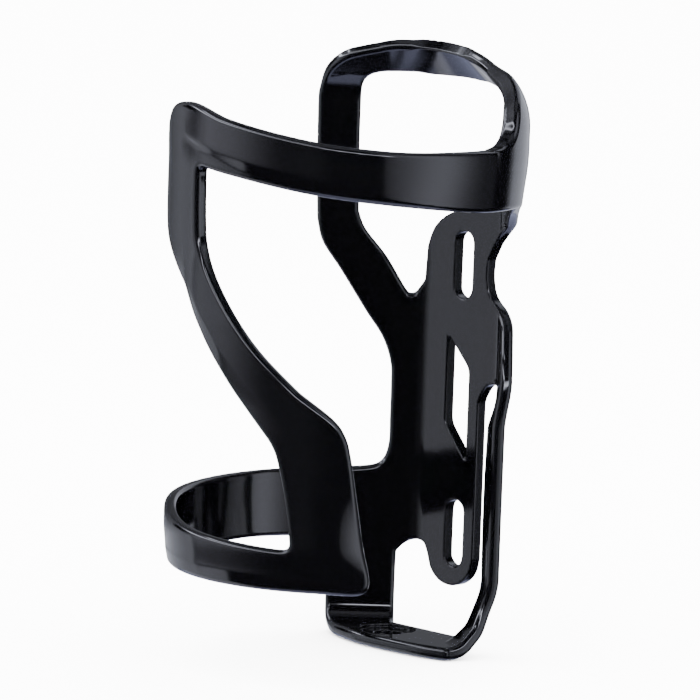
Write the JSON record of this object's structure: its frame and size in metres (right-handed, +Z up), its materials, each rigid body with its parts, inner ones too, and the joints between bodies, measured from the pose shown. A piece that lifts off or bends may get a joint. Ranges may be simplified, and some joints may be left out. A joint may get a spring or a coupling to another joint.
{
  "type": "water bottle cage",
  "caption": "One-piece moulded side-entry bottle cage: slotted back plate, top hoop, slanting front strut, upper band, lower ring and a foot under the bottle.",
  "frame": {"origin": "midway between the two mounting slots, on the back face that lies against the bicycle tube", "axes": "+Y out of the back face towards the tube, +Z up along the bottle, +X towards the open entry side"},
  "size_m": [0.0804, 0.0829, 0.1422],
  "materials": {
    "moulding": "gloss"
  },
  "bodies": {
    "root": {"upper_boss": "moulding", "plate_web": "moulding", "lower_boss": "moulding", "left_wing": "moulding", "hoop_left_arm": "moulding", "hoop_left_leg": "moulding", "hoop_left_corner": "moulding", "hoop_top_rail": "moulding", "hoop_right_corner": "moulding", "hoop_right_leg": "moulding", "hoop_right_arm": "moulding", "right_flare": "moulding", "right_strut": "moulding", "right_strut_foot": "moulding", "frame_root": "moulding", "foot_leg": "moulding", "bottle_foot": "moulding", "ring_back": "moulding", "ring_side": "moulding", "ring_front": "moulding", "strut_foot": "moulding", "strut_lower": "moulding", "strut_middle": "moulding", "strut_upper": "moulding", "band_knuckle": "moulding", "band_left": "moulding", "band_front": "moulding", "band_right": "moulding"}
  },
  "joints": []
}
